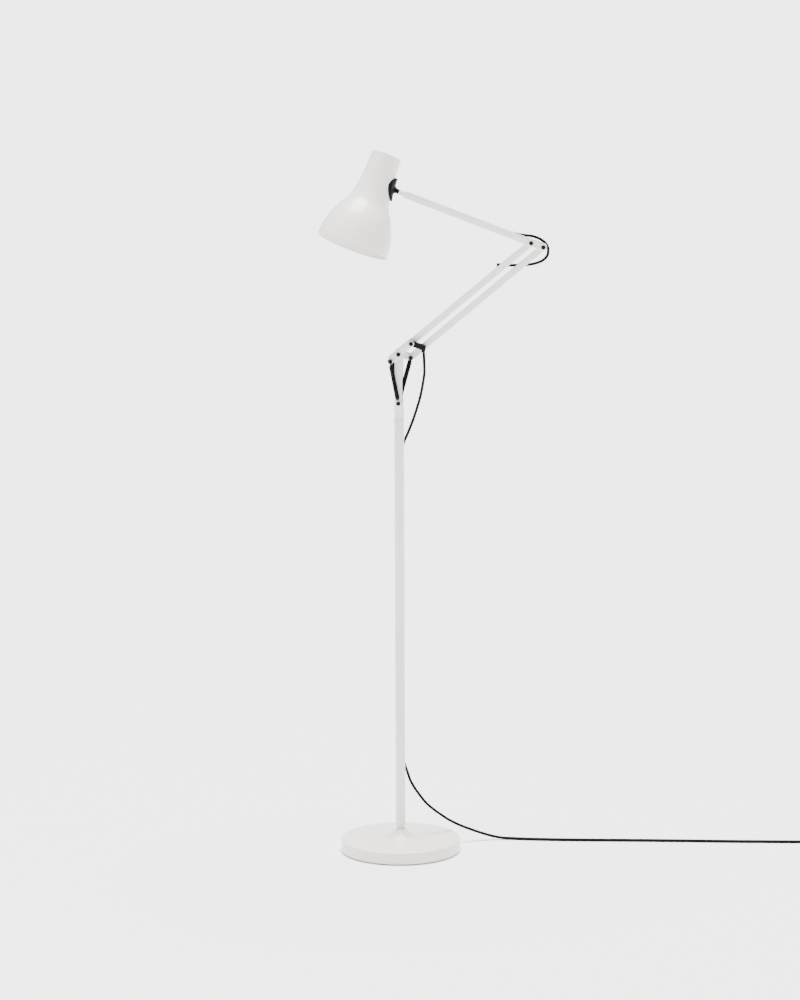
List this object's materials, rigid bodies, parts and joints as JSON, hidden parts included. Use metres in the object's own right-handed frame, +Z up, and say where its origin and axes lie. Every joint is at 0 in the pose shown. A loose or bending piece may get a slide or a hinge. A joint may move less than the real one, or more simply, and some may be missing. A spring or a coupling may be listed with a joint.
{
  "type": "adjustable arm floor lamp",
  "caption": "Adjustable floor lamp: round weighted base, thin pole, swivelling yoke, sprung parallel-bar arm and a bell shade on a roll-and-tilt knuckle.",
  "frame": {"origin": "on the floor, under the centre of the pole", "axes": "+Z up; +X towards the elbow of the arm, in the plane the arm moves in; the shade is on the -X side and the front of the lamp faces -Y"},
  "size_m": [1.1477, 0.235, 1.3966],
  "materials": {
    "paint": "satin",
    "pad": "matte",
    "weight": "rough",
    "steel": "satin",
    "bush_plastic": "matte",
    "pin_metal": "satin",
    "bulb": "matte",
    "soft_black": "matte",
    "cable": "satin",
    "black_bolt": "satin",
    "black_plastic": "satin",
    "black_spring": "satin"
  },
  "bodies": {
    "stand": {"base_pad": "pad", "base_weight": "weight", "base_cover": "paint", "pole_bolt": "steel", "pole_foot": "steel", "pole_lower": "paint", "pole_joiner": "steel", "pole_upper": "paint", "swivel_bush": "bush_plastic", "cable_boots": "soft_black", "cable_in_pole": "cable", "drop_cable_lower": "cable", "floor_lead": "cable", "lead_coil": "cable", "coil_tie": "soft_black", "plug_body": "soft_black", "plug_pins": "pin_metal"},
    "turret_body": {"turret": "paint", "yoke": "paint", "yoke_screw": "steel", "anchor_bolt": "black_bolt", "anchor_washers": "paint", "drop_cable_upper": "cable", "shoulder_bolt": "black_bolt", "shoulder_spacers": "steel"},
    "lower_arm": {"main_bar": "paint", "main_bar_ends": "paint", "shoulder_cheeks": "paint", "cheek_bolt": "black_bolt", "tail_studs": "black_bolt", "cable_clip": "black_plastic", "cable_in_main_bar": "cable", "bar_grommet": "soft_black"},
    "lever": {"lever_plates": "paint"},
    "lever_pin": {"lever_bolt": "black_bolt", "right_springs": "black_spring"},
    "second_bar": {"control_bar": "paint", "control_bar_ends": "paint"},
    "elbow_pin": {"elbow_bolt": "black_bolt", "elbow_cable_lower": "cable", "elbow_cable_upper": "cable"},
    "upper_arm": {"upper_arm_tube": "paint", "elbow_cheeks": "paint", "linkage_bolt": "black_bolt", "arm_ferrule": "paint", "grub_screw": "black_bolt", "arm_grommet": "soft_black", "cable_in_upper_arm": "cable"},
    "left_springs_low": {"left_springs": "black_spring"},
    "left_springs_high": {"left_spring_hooks": "black_spring"},
    "right_springs_low": {"right_spring_hooks": "black_spring"},
    "knuckle": {"knuckle_stem": "black_plastic", "tilt_pin": "steel"},
    "head": {"knuckle_saddle": "black_plastic", "shade": "paint", "top_cap": "paint", "lamp_holder": "black_plastic", "bulb_glass": "bulb", "bulb_base": "pin_metal"},
    "button": {"push_button": "black_plastic"}
  },
  "joints": [
    {"name": "swivel", "type": "hinge", "parent": "stand", "child": "turret_body", "pos_m": [0, 0, 0.87], "axis": [0, 0, 1], "range_deg": [-90, 90], "deforming": ["drop_cable_upper"]},
    {"name": "lower_arm_swing", "type": "hinge", "parent": "turret_body", "child": "lower_arm", "pos_m": [0, 0, 1], "axis": [0, -1, 0], "range_deg": [-25, 35], "deforming": ["elbow_cable_lower"]},
    {"name": "upper_arm_swing", "type": "hinge", "parent": "elbow_pin", "child": "upper_arm", "pos_m": [0.2574, 0, 1.21752], "axis": [0, -1, 0], "range_deg": [-45, 22], "deforming": ["elbow_cable_upper"]},
    {"name": "lever_turn", "type": "hinge", "parent": "turret_body", "child": "lever", "pos_m": [0, 0, 1], "axis": [0, -1, 0], "range_deg": [-46, 23]},
    {"name": "lever_pin_turn", "type": "hinge", "parent": "lever", "child": "lever_pin", "pos_m": [0.02364, 0, 0.99186], "axis": [0, -1, 0], "range_deg": [-23, 46]},
    {"name": "second_bar_swing", "type": "hinge", "parent": "lever_pin", "child": "second_bar", "pos_m": [0.02364, 0, 0.99186], "axis": [0, -1, 0], "range_deg": [-26, 36]},
    {"name": "elbow_pin_turn", "type": "hinge", "parent": "lower_arm", "child": "elbow_pin", "pos_m": [0.2574, 0, 1.21752], "axis": [0, -1, 0], "range_deg": [-36, 26]},
    {"name": "left_spring_swing", "type": "hinge", "parent": "turret_body", "child": "left_springs_low", "pos_m": [0, 0, 0.9045], "axis": [0, -1, 0], "range_deg": [-4.73, 3.38], "deforming": ["left_springs"]},
    {"name": "left_spring_stretch", "type": "slide", "parent": "left_springs_low", "child": "left_springs_high", "axis": [-0.187, 0, 0.9824], "range_m": [-0.00973, 0.00698], "deforming": ["left_spring_hooks"]},
    {"name": "right_spring_stretch", "type": "slide", "parent": "lever_pin", "child": "right_springs_low", "axis": [-0.5075, 0, -0.8616], "range_m": [-0.01956, 0.00962], "deforming": ["right_springs", "right_spring_hooks"]},
    {"name": "head_roll", "type": "hinge", "parent": "upper_arm", "child": "knuckle", "pos_m": [0.00113, 0, 1.31589], "axis": [-0.9336, 0, 0.3584], "range_deg": [-107, 73]},
    {"name": "head_tilt", "type": "hinge", "parent": "knuckle", "child": "head", "pos_m": [-0.00484, 0, 1.31818], "axis": [-0.1048, 0.9563, -0.273], "range_deg": [-45, 45]},
    {"name": "button_press", "type": "slide", "parent": "head", "child": "button", "axis": [-0.3427, -0.2924, -0.8928], "range_m": [0, 0.0025], "stiffness_N_per_m": 400, "springref_m": -0.002}
  ],
  "couplings": [
    {"joint": "lever_turn", "follows": "upper_arm_swing", "ratio": 1},
    {"joint": "lever_pin_turn", "follows": "upper_arm_swing", "ratio": -1},
    {"joint": "second_bar_swing", "follows": "lower_arm_swing", "ratio": 1},
    {"joint": "elbow_pin_turn", "follows": "lower_arm_swing", "ratio": -1},
    {"joint": "left_spring_swing", "follows": "lower_arm_swing", "ratio": -0.1325},
    {"joint": "left_spring_stretch", "follows": "lower_arm_swing", "m_per_rad": -0.01545},
    {"joint": "right_spring_stretch", "follows": "upper_arm_swing", "m_per_rad": 0.024296}
  ]
}
